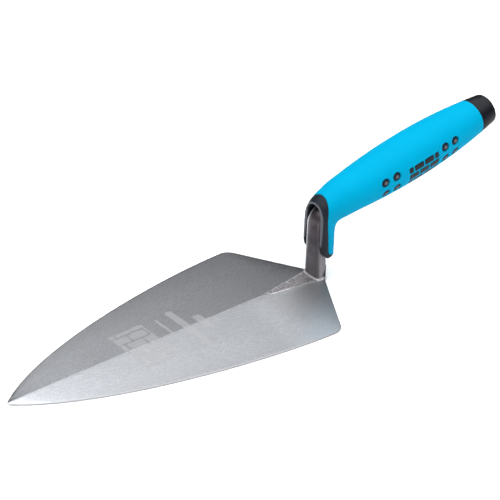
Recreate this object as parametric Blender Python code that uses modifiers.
"""Brick trowel, Philadelphia pattern: a one-piece forged blade, shank and tang, held in a moulded handle.

The handle is a hard core moulded round the tang, a soft grip moulded over the core, and an end cap.
The origin is on the blade's flat underside, below the middle of the shank. The tip points along -X,
the handle runs back and up along +X, and +Z is up. Lengths are in millimetres until a mesh is made.
"""

import math

import bmesh
import bpy
from mathutils import Matrix, Vector

MM = 0.001
GAP = 0.3  # clearance between two pieces that touch

# Blade
BLADE_LENGTH = 254.0
HEEL_X = 3.3
TIP_X = HEEL_X - BLADE_LENGTH
BLADE_HALF_WIDTH = 58.9
TIP_HALF_WIDTH = 1.3
SHOULDER_X = -28.3
TIP_FULLNESS = (49.7, 39.5)  # forward and outward pull of the outline's curve at the tip
SHOULDER_FULLNESS = (46.6, 0.25)
SHOULDER_ROUND = 6.0
EDGE_THICKNESS = 0.9
RIDGE_AT_TIP = 1.4
RIDGE_AT_BOLSTER = 2.7
RIDGE_HALF_WIDTH = 0.12

# Bolster: the wedge of unground metal that widens from the ridge to the foot of the shank
BOLSTER_START_X = -50.0
BOLSTER_END_X = -2.6
BOLSTER_HALF_WIDTH = 7.1
BOLSTER_STEP = 0.55

# Shank and tang
SHANK_HALF_WIDTH = 7.2
SHANK_TOP_HALF_WIDTH = 6.2  # where the gooseneck starts
SHANK_HALF_THICKNESS = 3.5
SHANK_CROWN = 0.5  # how far the middle of the front face stands out
SHANK_CORNER = 1.6
SHANK_BEVEL = 0.6
SHANK_FOOT_FLARE = 0.35
SHANK_STRAIGHT_TOP = 43.5
SHANK_LEAN = 0.088  # lean towards the tip, for each unit of height
SHANK_LEAN_START = 5.0
TANG_BEND = ((-4.0, 53.0), (14.0, 57.1))  # control point and end of the gooseneck's curve
TANG_LENGTH = 88.0
TANG_HALF_WIDTH = 5.4
TANG_HALF_THICKNESS = 3.0
TANG_TIP_HALF_WIDTH = 3.2
TANG_TIP_HALF_THICKNESS = 2.2
BARB_COUNT = 5
BARB_START = 12.0  # from the tang's end to the first notch
BARB_SPACING = 9.0
BARB_DEPTH = 1.1

# Handle
HANDLE_TILT = math.radians(11.47)
HANDLE_AXIS_Z = 54.24  # height of the handle's axis over the origin
BELLY_X = 79.0
BELLY_RADIUS = 16.8
FRONT_TAPER = 4.9 / 72.0**2
REAR_TAPER = 3.4 / 55.0**2
CAP_JOINT_X = 137.3
WIDE = 1.02  # the handle is a touch wider than it is tall
TALL = 0.98
GUARD_HALF_WIDTH = 10.3
GUARD_BOTTOM = 19.3
GRIP_WALL = 2.0
HOOD_FRONT_X = -5.65  # of the hood's rim, at the guard's middle height
RIM_LEAN = 0.035
GUARD_MIDDLE_Z = 38.0
JOINT_FOOT = (0.7, 27.5)  # side view of the joint between the hood and the grip
JOINT_PULL = (-0.4, 36.0)
JOINT_WAIST = (-1.8, 45.0)
JOINT_LIFT = (-3.4, 54.0)
JOINT_TOP = (0.6, 67.0)
LIP_HEIGHT = 2.3
CHANNEL_HALF_WIDTH = SHANK_TOP_HALF_WIDTH + GAP
CHANNEL_FLARE = 0.03  # widening of the channel below its arch, for each unit of depth
CHANNEL_ARCH_Z = 52.8
CHANNEL_BACK_X = SHANK_HALF_THICKNESS + GAP
REAR_BORE_RADIUS = 7.5
REAR_BORE_DEPTH = 26.0

# Grip studs and the badge, placed by distance along the handle's axis and by angle round it
STUD_COLUMNS = (45.3, 55.2, 100.6, 110.5)
PATTERN_ANGLE = -20.0
STUD_ROW_STEP = 34.0
STUD_RADIUS = 3.05
STUD_ROOT = -3.0  # depth of a stud's foot, inside the core
STUD_SINK = 0.9  # depth of a stud's edge below the grip's surface
STUD_SIDES = 12
BADGE_START = 66.2
BADGE_COURSES = 4
BADGE_BRICKS = 3  # whole bricks in a course
BRICK_LENGTH = 8.2
BRICK_HEIGHT = 4.2
BRICK_ROOT = 2.45  # depth below the surface: into the core, and short of where two bricks would meet
MORTAR = 1.3

# End cap
CAP_LENGTH = 14.9
CAP_END_RADIUS = 11.1
CAP_ROUND = 1.4
SPIGOT_LENGTH = 15.0

SIDES = 24  # facets round the handle
SLICES = 26  # slices along it


def clear_scene():
    for obj in list(bpy.data.objects):
        bpy.data.objects.remove(obj)


def collection(name):
    made = bpy.data.collections.new(name)
    bpy.context.scene.collection.children.link(made)
    return made


def material(name, colour, roughness, metallic=0.0):
    made = bpy.data.materials.new(name)
    made.use_nodes = True
    shader = made.node_tree.nodes["Principled BSDF"]
    shader.inputs["Base Color"].default_value = (*colour, 1.0)
    shader.inputs["Roughness"].default_value = roughness
    shader.inputs["Metallic"].default_value = metallic
    made.diffuse_color = (*colour, 1.0)
    return made


def object_from(name, mesh_data, where, finish=None):
    """A named object whose mesh is in metres, from a bmesh in millimetres."""
    bmesh.ops.triangulate(mesh_data, faces=[f for f in mesh_data.faces if len(f.verts) > 4])
    bmesh.ops.recalc_face_normals(mesh_data, faces=mesh_data.faces)
    bmesh.ops.scale(mesh_data, vec=(MM, MM, MM), verts=mesh_data.verts)
    mesh = bpy.data.meshes.new(name)
    mesh_data.to_mesh(mesh)
    mesh_data.free()
    obj = bpy.data.objects.new(name, mesh)
    where.objects.link(obj)
    if finish:
        mesh.materials.append(finish)
    else:
        obj.hide_render = True
        obj.display_type = "WIRE"
    return obj


def bridge(mesh_data, rings):
    """A closed skin through rings of points that all have the same count."""
    loops = [[mesh_data.verts.new(point) for point in ring] for ring in rings]
    count = len(loops[0])
    for lower, upper in zip(loops, loops[1:]):
        for i in range(count):
            j = (i + 1) % count
            mesh_data.faces.new((lower[i], lower[j], upper[j], upper[i]))
    mesh_data.faces.new(loops[0])
    mesh_data.faces.new(loops[-1])


def loft(name, rings, where, finish=None):
    skin = bmesh.new()
    bridge(skin, rings)
    return object_from(name, skin, where, finish)


def boolean(target, operation, tool):
    step = target.modifiers.new(f"{operation.lower()} {tool.name}", "BOOLEAN")
    step.operation = operation
    step.solver = "EXACT"
    step.object = tool


def bezier(points, steps):
    """Points along a cubic, or a quadratic if three control points are given."""
    found = []
    for i in range(steps + 1):
        level = [Vector(point) for point in points]
        while len(level) > 1:
            level = [a.lerp(b, i / steps) for a, b in zip(level, level[1:])]
        found.append(level[0])
    return found


def blend(value, keys):
    """Straight-line value between (position, value) keys."""
    for (x0, y0), (x1, y1) in zip(keys, keys[1:]):
        if value <= x1:
            share = max(0.0, (value - x0) / (x1 - x0))
            return y0 + (y1 - y0) * share
    return keys[-1][1]


# --- the forging ---------------------------------------------------------------------------------


def blade_outline():
    """Half of the blade's outline, from the tip to the heel, as (x, half width)."""
    side = bezier(
        (
            (TIP_X, TIP_HALF_WIDTH),
            (TIP_X + TIP_FULLNESS[0], TIP_HALF_WIDTH + TIP_FULLNESS[1]),
            (SHOULDER_X - SHOULDER_FULLNESS[0], BLADE_HALF_WIDTH + SHOULDER_FULLNESS[1]),
            (SHOULDER_X, BLADE_HALF_WIDTH),
        ),
        22,
    )
    corner = Vector((SHOULDER_X, BLADE_HALF_WIDTH))
    heel = Vector((HEEL_X, SHANK_HALF_WIDTH + 0.2))
    along_side = (side[-2] - corner).normalized()
    along_rear = (heel - corner).normalized()
    round_start = corner + along_side * SHOULDER_ROUND
    round_end = corner + along_rear * SHOULDER_ROUND
    before = [point for point in side if point.x < round_start.x]
    after = [round_end.lerp(heel, i / 6) for i in range(1, 7)]
    return before + bezier((round_start, corner, round_end), 6) + after


def ridge_height(x):
    return blend(x, ((TIP_X, RIDGE_AT_TIP), (BOLSTER_START_X, RIDGE_AT_BOLSTER)))


def blade_section(x, half_width):
    """One slice: flat underside, thin edges, ground faces up to the ridge, and the bolster's flat top."""
    share = max(0.0, (x - BOLSTER_START_X) / (BOLSTER_END_X - BOLSTER_START_X))
    share = min(1.0, share)
    crest = RIDGE_HALF_WIDTH + (BOLSTER_HALF_WIDTH - RIDGE_HALF_WIDTH) * share
    top = ridge_height(x)
    foot = top - BOLSTER_STEP * share - 0.02
    foot_y = crest + 0.05 + 0.2 * share
    half = [(half_width, 0.0), (half_width, EDGE_THICKNESS), (foot_y, foot), (crest, top)]
    return [(x, y, z) for y, z in half] + [(x, -y, z) for y, z in reversed(half)]


def blade(where):
    outline = [(point.x, point.y) for point in blade_outline()]
    outline += [(x, blend(x, outline)) for x in (BOLSTER_START_X, -40.0)]
    return loft("blade_blank", [blade_section(*point) for point in sorted(outline)], where)


def shank_x(z):
    """Where the shank's middle is at a height: it rises straight from its foot, then leans."""
    return -SHANK_LEAN * max(0.0, z - SHANK_LEAN_START)


def shank_spine():
    """The middle of the shank and tang in the XZ plane: foot, straight, gooseneck, then the tang."""
    foot = [Vector((shank_x(z), z)) for z in (0.5, 2.0, 3.2, 5.0, 9.0, 26.0)]
    neck = bezier(((shank_x(SHANK_STRAIGHT_TOP), SHANK_STRAIGHT_TOP), *TANG_BEND), 10)
    along = Vector((math.cos(HANDLE_TILT), math.sin(HANDLE_TILT)))
    tang = [neck[-1] + along * TANG_LENGTH * share for share in (0.25, 0.6, 1.0)]
    return foot + neck + tang


def shank_ring(middle, direction, half_width, half_thickness):
    """A bar's section: rounded front corners, a front face that bows out, and bevelled back corners."""
    front = Vector((-direction.y, direction.x))
    corner = min(SHANK_CORNER, half_thickness / 2)
    flat = half_width - corner
    near = []
    for step in range(5):
        turn = math.radians(90 * step / 4)
        near.append((flat + corner * math.cos(turn), half_thickness - corner * (1 - math.sin(turn))))
    near.append((flat / 2, half_thickness + SHANK_CROWN * 0.75))
    section = near + [(0.0, half_thickness + SHANK_CROWN)] + [(-y, out) for y, out in reversed(near)]
    section += [(-half_width, SHANK_BEVEL - half_thickness), (SHANK_BEVEL - half_width, -half_thickness)]
    section += [(half_width - SHANK_BEVEL, -half_thickness), (half_width, SHANK_BEVEL - half_thickness)]
    return [(middle.x + front.x * out, y, middle.y + front.y * out) for y, out in section]


def shank_rings(margin=0.0):
    """Slices of the shank and tang. A margin makes the room the tang takes up in the handle's core."""
    spine = shank_spine()
    neck_start, neck_end = 6, 16
    rings = []
    for i, middle in enumerate(spine):
        ahead = spine[min(i + 1, len(spine) - 1)]
        behind = spine[max(i - 1, 0)]
        if i <= neck_start:
            taper = ((SHANK_LEAN_START, SHANK_HALF_WIDTH), (SHANK_STRAIGHT_TOP, SHANK_TOP_HALF_WIDTH))
            half_width = blend(middle.y, taper)
            half_thickness = SHANK_HALF_THICKNESS
        elif i <= neck_end:
            share = (i - neck_start) / (neck_end - neck_start)
            half_width = blend(share, ((0.0, SHANK_TOP_HALF_WIDTH), (1.0, TANG_HALF_WIDTH)))
            half_thickness = blend(share, ((0.0, SHANK_HALF_THICKNESS), (1.0, TANG_HALF_THICKNESS)))
        else:
            share = (middle - spine[neck_end]).length / TANG_LENGTH
            half_width = blend(share, ((0.0, TANG_HALF_WIDTH), (1.0, TANG_TIP_HALF_WIDTH)))
            half_thickness = blend(share, ((0.0, TANG_HALF_THICKNESS), (1.0, TANG_TIP_HALF_THICKNESS)))
        grown = margin + blend(middle.y, ((1.6, SHANK_FOOT_FLARE), (5.0, 0.0)))
        direction = (ahead - behind).normalized()
        rings.append(shank_ring(middle, direction, half_width + grown, half_thickness + grown))
    return rings


def barb_cutters(where):
    """Notches across the tang's two edges, which key it into the moulded core."""
    notches = bmesh.new()
    end = shank_spine()[-1]
    along = Vector((math.cos(HANDLE_TILT), math.sin(HANDLE_TILT)))
    for count in range(BARB_COUNT):
        back = BARB_START + BARB_SPACING * count
        middle = end - along * back
        edge = blend(back / TANG_LENGTH, ((0.0, TANG_TIP_HALF_WIDTH), (1.0, TANG_HALF_WIDTH)))
        for side in (1, -1):
            place = (
                Matrix.Translation((middle.x, side * (edge + 1.5 - BARB_DEPTH), middle.y))
                @ Matrix.Rotation(-HANDLE_TILT, 4, "Y")
                @ Matrix.Diagonal((2.4, 3.0, 16.0, 1.0))
            )
            bmesh.ops.create_cube(notches, size=1.0, matrix=place)
    return object_from("barb_cutters", notches, where)


def forging(parts, guides, steel):
    made = loft("trowel_forging", shank_rings(), parts, steel)
    boolean(made, "UNION", blade(guides))
    boolean(made, "DIFFERENCE", barb_cutters(guides))
    return made


# --- the handle ----------------------------------------------------------------------------------


def handle_radius(x):
    taper = FRONT_TAPER if x < BELLY_X else REAR_TAPER
    return BELLY_RADIUS - taper * (x - BELLY_X) ** 2


def axis_point(x):
    return Vector((x, HANDLE_AXIS_Z + math.tan(HANDLE_TILT) * x))


def handle_stations():
    """Slices from the guard's foot to the cap joint, as (top x, top z, bottom x, bottom z, half width,
    height of the upper half). The first rows follow the guard up and round the bend."""
    bend = [
        (-10.15, GUARD_BOTTOM, 11.75, GUARD_BOTTOM, GUARD_HALF_WIDTH, 11.6),
        (-10.7, 34.0, 11.2, 30.5, GUARD_HALF_WIDTH, 11.6),
        (-11.0, 46.0, 10.95, 36.2, GUARD_HALF_WIDTH, 11.6),
        (-9.9, 54.0, 11.85, 39.8, GUARD_HALF_WIDTH, 11.0),
        (-6.7, 59.7, 13.2, 41.2, 10.4, 10.4),
        (-2.6, 63.2, 15.3, 42.2, 10.8, 10.9),
        (3.0, 66.3, 17.9, 42.9, 11.6, 11.7),
        (10.8, 69.8, 21.3, 43.8, 12.7, 12.8),
    ]
    straight = []
    lean = math.sin(HANDLE_TILT), math.cos(HANDLE_TILT)
    for x in (26.0, 40.0, 56.0, 72.0, 90.0, 108.0, 124.0, CAP_JOINT_X):
        middle, radius = axis_point(x), handle_radius(x)
        tall = radius * TALL
        top = (middle.x - lean[0] * tall, middle.y + lean[1] * tall)
        bottom = (middle.x + lean[0] * tall, middle.y - lean[1] * tall)
        straight.append((*top, *bottom, radius * WIDE, tall))
    return bend + straight


def smooth(keys, share):
    """A smooth curve through rows of numbers, where share counts the rows."""
    last = len(keys) - 1
    i = min(int(share), last - 1)
    t = share - i
    before, start = keys[max(i - 1, 0)], keys[i]
    end, after = keys[i + 1], keys[min(i + 2, last)]
    values = []
    for a, b, c, d in zip(before, start, end, after):
        values.append(
            b + 0.5 * t * (c - a + t * (2 * a - 5 * b + 4 * c - d + t * (3 * (b - c) + d - a)))
        )
    return values


def handle_ring(station, inset, shift=0.0):
    """One slice: an egg whose upper half is as round as the guard, moved inwards and along the handle."""
    top, bottom = Vector(station[0:2]), Vector(station[2:4])
    half_width, above = station[4] - inset, station[5]
    up = (top - bottom).normalized()
    below = (top - bottom).length - above
    middle = top - up * above + Vector((up.y, -up.x)) * shift
    ring = []
    for i in range(SIDES):
        turn = math.tau * i / SIDES
        height = (above if i * 2 < SIDES else below) - inset
        spot = middle + up * height * math.sin(turn)
        ring.append((spot.x, half_width * math.cos(turn), spot.y))
    return ring


def handle_loft(name, where, inset=0.0, start=0.0, end=0.0, finish=None):
    """The handle's outer form, or the same form moved inwards, from the guard's foot to the cap joint."""
    keys = handle_stations()
    last = len(keys) - 1
    rings = [handle_ring(keys[0], inset, start)]
    rings += [handle_ring(smooth(keys, last * i / SLICES), inset) for i in range(1, SLICES)]
    rings.append(handle_ring(keys[-1], inset, end))
    return loft(name, rings, where, finish)


def prism(name, outline, reach, where):
    """A cutter of one section: a flat outline, extruded along a vector."""
    made = bmesh.new()
    face = made.faces.new([made.verts.new(point) for point in outline])
    grown = bmesh.ops.extrude_face_region(made, geom=[face])["geom"]
    ends = [item for item in grown if isinstance(item, bmesh.types.BMVert)]
    bmesh.ops.translate(made, vec=reach, verts=ends)
    return object_from(name, made, where)


def side_prism(name, outline, where):
    """A cutter of constant side view: an outline in the XZ plane, extruded across the whole handle."""
    return prism(name, [(x, -40.0, z) for x, z in outline], (0.0, 80.0, 0.0), where)


def rim_x(z):
    """Where the hood's front rim is at a height."""
    return HOOD_FRONT_X - RIM_LEAN * (z - GUARD_MIDDLE_Z)


def hood_trim(where):
    """What is taken off the front: all before the hood's rim, and the swept-back foot of the guard."""
    under = GUARD_BOTTOM - 0.4
    foot = bezier(((rim_x(34.0), 34.0), (-5.4, 26.5), (-2.6, 19.6), (4.8, under)), 8)
    outline = [(rim_x(90.0), 90.0)] + [tuple(point) for point in foot]
    outline += [(4.8, 5.0), (-40.0, 5.0), (-40.0, 90.0)]
    return side_prism("hood_trim", outline, where)


def grip_front(shift):
    """The joint between hood and grip seen from the side: along the guard's lip, then up behind the rim."""
    bottom = GUARD_BOTTOM + LIP_HEIGHT + shift
    foot = bezier(((JOINT_FOOT[0] + 5.5, bottom), (JOINT_FOOT[0], bottom), JOINT_FOOT), 5)
    rise = bezier((JOINT_FOOT, JOINT_PULL, JOINT_WAIST), 4)
    crown = bezier((JOINT_WAIST, JOINT_LIFT, JOINT_TOP), 5)
    curve = foot + rise[1:] + crown[1:]
    curve = [curve[0]] + [point + Vector((shift, 0.0)) for point in curve[1:]]
    return [tuple(point) for point in curve]


def grip_zone(name, where, shift):
    """Everything behind the hood and above the guard's lip, where the soft grip lies."""
    curve = grip_front(shift)
    far = 170.0
    outline = [(far, curve[0][1])] + curve + [(curve[-1][0], 99.0), (far, 99.0)]
    return side_prism(name, outline, where)


def front_zone(name, where, shift):
    """Everything else: before the joint and below the guard's lip."""
    curve = grip_front(shift)
    outline = [(60.0, 5.0), (60.0, curve[0][1])] + curve + [(curve[-1][0], 99.0)]
    return side_prism(name, outline + [(-60.0, 99.0), (-60.0, 5.0)], where)


def channel(where):
    """The arch-topped slot that the shank lies in, open to the front and below."""
    arch = []
    for i in range(13):
        turn = math.pi * i / 12
        arch.append(
            (CHANNEL_HALF_WIDTH * math.cos(turn), CHANNEL_ARCH_Z + CHANNEL_HALF_WIDTH * math.sin(turn))
        )
    foot = CHANNEL_HALF_WIDTH + CHANNEL_FLARE * CHANNEL_ARCH_Z
    outline = [(foot, 0.0)] + arch + [(-foot, 0.0)]
    face = [(CHANNEL_BACK_X - SHANK_LEAN * (z - SHANK_LEAN_START), y, z) for y, z in outline]
    return prism("channel", face, (-40.0, 0.0, 0.0), where)


def place_on_handle(along, angle, side):
    """Where a feature sits on the handle's surface: X along the axis, Z out of the surface."""
    x = along * math.cos(HANDLE_TILT)
    middle, radius = axis_point(x), handle_radius(x)
    turn = math.radians(angle)
    axis = Vector((math.cos(HANDLE_TILT), 0.0, math.sin(HANDLE_TILT)))
    up = Vector((-math.sin(HANDLE_TILT), 0.0, math.cos(HANDLE_TILT)))
    out = Vector((0.0, -side * math.cos(turn), 0.0)) + up * math.sin(turn)
    across = out.cross(axis)
    spot = Vector((middle.x, -side * radius * WIDE * math.cos(turn), middle.y))
    spot += up * radius * TALL * math.sin(turn)
    frame = Matrix((axis, across, out)).transposed().to_4x4()
    return Matrix.Translation(spot) @ frame


def post(mesh_data, place, radius, low, high, sides):
    """A cylinder along the place's Z axis. Returns its vertices."""
    middle = place @ Matrix.Translation((0.0, 0.0, (low + high) / 2))
    made = bmesh.ops.create_cone(
        mesh_data,
        cap_ends=True,
        segments=sides,
        radius1=radius,
        radius2=radius,
        depth=high - low,
        matrix=middle,
    )
    return made["verts"]


def stud_places():
    for side in (1, -1):
        for along in STUD_COLUMNS:
            for row in (-1, 0, 1):
                yield place_on_handle(along, PATTERN_ANGLE + row * STUD_ROW_STEP, side)


def studs(where):
    """Round-topped studs of the core, which show through round holes in the grip."""
    made = bmesh.new()
    for place in stud_places():
        verts = post(made, place, STUD_RADIUS, STUD_ROOT, 0.0, STUD_SIDES)
        to_stud = place.inverted()
        top = {vert for vert in verts if (to_stud @ vert.co).z > -0.1}
        rim = [edge for edge in made.edges if top.issuperset(edge.verts)]
        bmesh.ops.bevel(made, geom=rim, offset=STUD_SINK, segments=2, profile=0.5, affect="EDGES")
    return object_from("studs", made, where)


def stud_holes(where):
    made = bmesh.new()
    for place in stud_places():
        post(made, place, STUD_RADIUS + GAP, -5.0, 3.0, STUD_SIDES)
    return object_from("stud_holes", made, where)


def bricks(name, where, grow, depth, rise):
    """The badge: a patch of running-bond brickwork on each side of the handle."""
    made = bmesh.new()
    degrees = math.degrees((BRICK_HEIGHT + MORTAR) / BELLY_RADIUS)
    step = BRICK_LENGTH + MORTAR
    for side in (1, -1):
        for course in range(BADGE_COURSES):
            angle = PATTERN_ANGLE + (course - (BADGE_COURSES - 1) / 2) * degrees
            start = BADGE_START + (step / 2 if course % 2 else 0.0)
            spans = [(start + step * i, BRICK_LENGTH) for i in range(BADGE_BRICKS)]
            if course % 2:
                spans[-1] = (spans[-1][0], BRICK_LENGTH - step / 2)
                spans.insert(0, (BADGE_START, BRICK_LENGTH - step / 2))
            for first, length in spans:
                place = place_on_handle(first + length / 2, angle, side)
                place = place @ Matrix.Translation((0.0, 0.0, (rise - depth) / 2))
                size = (length + 2 * grow, BRICK_HEIGHT + 2 * grow, depth + rise, 1.0)
                bmesh.ops.create_cube(made, size=1.0, matrix=place @ Matrix.Diagonal(size))
    return object_from(name, made, where)


def handle_core(parts, guides, plastic):
    """The hard core: hood, shank channel, tang socket, studs and badge."""
    made = handle_loft("handle_core", parts, inset=GRIP_WALL + GAP / 2, start=0.8, finish=plastic)
    hood = handle_loft("hood_blank", guides)
    boolean(hood, "DIFFERENCE", grip_zone("hood_cutter", guides, -GAP / 2))
    badge = bricks("badge_bricks", guides, 0.0, BRICK_ROOT, 3.0)
    boolean(badge, "INTERSECT", handle_loft("badge_limit", guides, inset=0.12))
    boolean(made, "UNION", hood)
    boolean(made, "UNION", studs(guides))
    boolean(made, "UNION", badge)
    boolean(made, "DIFFERENCE", hood_trim(guides))
    boolean(made, "DIFFERENCE", channel(guides))
    boolean(made, "DIFFERENCE", loft("tang_room", shank_rings(GAP), guides))
    boolean(made, "DIFFERENCE", rear_bore(guides))
    return made


def rear_frame():
    """A frame at the cap joint whose Z axis runs back along the handle."""
    middle = axis_point(CAP_JOINT_X)
    turn = Matrix.Rotation(math.pi / 2 - HANDLE_TILT, 4, "Y")
    return Matrix.Translation((middle.x, 0.0, middle.y)) @ turn


def rear_bore(where):
    made = bmesh.new()
    post(made, rear_frame(), REAR_BORE_RADIUS, -REAR_BORE_DEPTH, 10.0, SIDES)
    return object_from("rear_bore", made, where)


def soft_grip(parts, guides, rubber):
    made = handle_loft("soft_grip", parts, start=0.5, finish=rubber)
    inner = handle_loft("grip_inside", guides, inset=GRIP_WALL - GAP / 2, start=-4.0, end=4.0)
    boolean(made, "DIFFERENCE", inner)
    boolean(made, "DIFFERENCE", front_zone("grip_front_cutter", guides, GAP / 2))
    boolean(made, "DIFFERENCE", stud_holes(guides))
    boolean(made, "DIFFERENCE", bricks("badge_windows", guides, GAP / 2, BRICK_ROOT, 3.0))
    return made


def end_cap(parts, plastic):
    """A profile of (radius, height) points, from the spigot's end to the cap's, turned by a Screw."""
    joint, spigot = handle_radius(CAP_JOINT_X), REAR_BORE_RADIUS - GAP
    profile = [(0.0, -SPIGOT_LENGTH), (spigot - 1.0, -SPIGOT_LENGTH), (spigot, 1.0 - SPIGOT_LENGTH)]
    profile += [(spigot, 0.0), (joint - 0.25, 0.0), (joint, 0.25)]
    for i in range(6):
        turn = math.radians(90 * i / 5)
        radius = CAP_END_RADIUS - CAP_ROUND + CAP_ROUND * math.cos(turn)
        profile.append((radius, CAP_LENGTH - CAP_ROUND + CAP_ROUND * math.sin(turn)))
    profile.append((0.0, CAP_LENGTH))
    mesh = bpy.data.meshes.new("end_cap")
    points = [(radius * MM, 0.0, height * MM) for radius, height in profile]
    mesh.from_pydata(points, [(i, i + 1) for i in range(len(points) - 1)], [])
    mesh.materials.append(plastic)
    made = bpy.data.objects.new("end_cap", mesh)
    parts.objects.link(made)
    place = rear_frame() @ Matrix.Translation((0.0, 0.0, GAP))
    made.location = place.to_translation() * MM
    made.rotation_euler = place.to_euler()
    made.scale = (TALL, WIDE, 1.0)
    turn = made.modifiers.new("turn", "SCREW")
    turn.steps = turn.render_steps = SIDES
    turn.use_normal_flip = True
    turn.use_merge_vertices = True
    turn.merge_threshold = 0.01 * MM
    return made


def main():
    clear_scene()
    parts = collection("brick_trowel")
    guides = collection("guides")
    steel = material("forged steel", (0.52, 0.53, 0.55), 0.35, metallic=1.0)
    plastic = material("black plastic", (0.02, 0.02, 0.024), 0.5)
    rubber = material("blue soft grip", (0.0, 0.42, 0.68), 0.55)
    cap = material("black cap", (0.02, 0.02, 0.024), 0.45)
    made = [
        forging(parts, guides, steel),
        handle_core(parts, guides, plastic),
        soft_grip(parts, guides, rubber),
        end_cap(parts, cap),
    ]
    for obj in made:
        obj.data.shade_smooth()
        obj.data.set_sharp_from_angle(angle=math.radians(30))


main()
